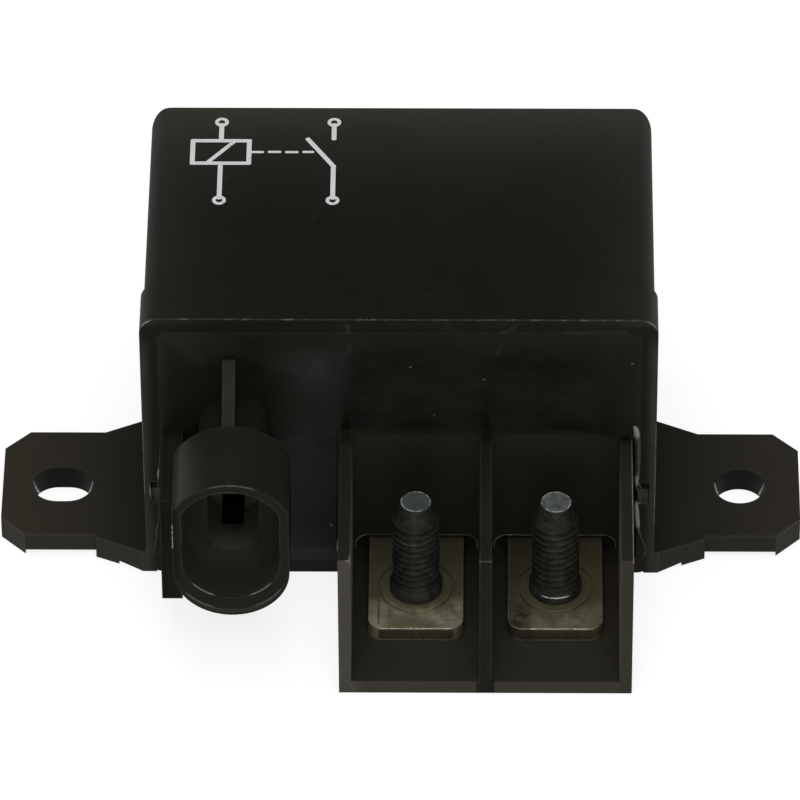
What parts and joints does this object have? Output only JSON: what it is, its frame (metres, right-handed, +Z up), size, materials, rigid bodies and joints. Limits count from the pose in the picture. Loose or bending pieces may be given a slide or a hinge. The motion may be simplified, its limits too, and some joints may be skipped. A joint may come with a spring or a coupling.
{
  "type": "relay",
  "caption": "Sealed box-shaped power relay with threaded load studs between barrier walls, a coil plug socket and drilled mounting ears.",
  "frame": {"origin": "midway between the two fixing holes, on the mounting plane", "axes": "+X along the ears to the round hole, -Y out of the terminal face, +Z up along the load studs"},
  "size_m": [0.1026, 0.0641, 0.0429],
  "materials": {
    "shell": "semi-gloss black moulding with a fine grain",
    "base": "black moulding, satin",
    "resin": "poured, glossy",
    "bar_brass": "dull stamped, tarnished",
    "stud_steel": "dark plated",
    "contact_silver": "bright silver",
    "iron": "zinc plated",
    "bobbin_plastic": "natural",
    "copper": "enamelled copper",
    "pin_brass": "tin plated",
    "resistor_body": "coated",
    "spring_steel": "bright wire"
  },
  "bodies": {
    "case": {"housing": "shell", "terminal_base": "base", "sealing_resin": "resin", "load_bar_left": "bar_brass", "load_bar_right": "bar_brass", "load_stud_left": "stud_steel", "load_stud_right": "stud_steel", "fixed_contact_left": "contact_silver", "fixed_contact_right": "contact_silver", "yoke": "iron", "core": "iron", "bobbin": "bobbin_plastic", "winding": "copper", "coil_pin_upper": "pin_brass", "coil_pin_lower": "pin_brass", "resistor": "resistor_body", "return_spring": "spring_steel"},
    "armature": {"armature": "iron", "carrier": "bobbin_plastic", "contact_spring": "spring_steel"},
    "bridge": {"contact_bridge": "copper", "moving_contact_left": "contact_silver", "moving_contact_right": "contact_silver"}
  },
  "joints": [
    {"name": "armature_hinge", "type": "hinge", "parent": "case", "child": "armature", "pos_m": [-0.01649, -0.00221, 0.0365], "axis": [1, 0, 0], "range_deg": [0, 5.5], "stiffness_Nm_per_rad": 0.02, "springref_deg": -8.59, "deforming": ["return_spring"]},
    {"name": "bridge_slide", "type": "slide", "parent": "armature", "child": "bridge", "axis": [0, -0.9954, 0.0958], "range_m": [0, 0.0005], "deforming": ["contact_spring"]}
  ],
  "couplings": [
    {"joint": "bridge_slide", "follows": "armature_hinge", "m_per_rad": 0.0052086}
  ]
}
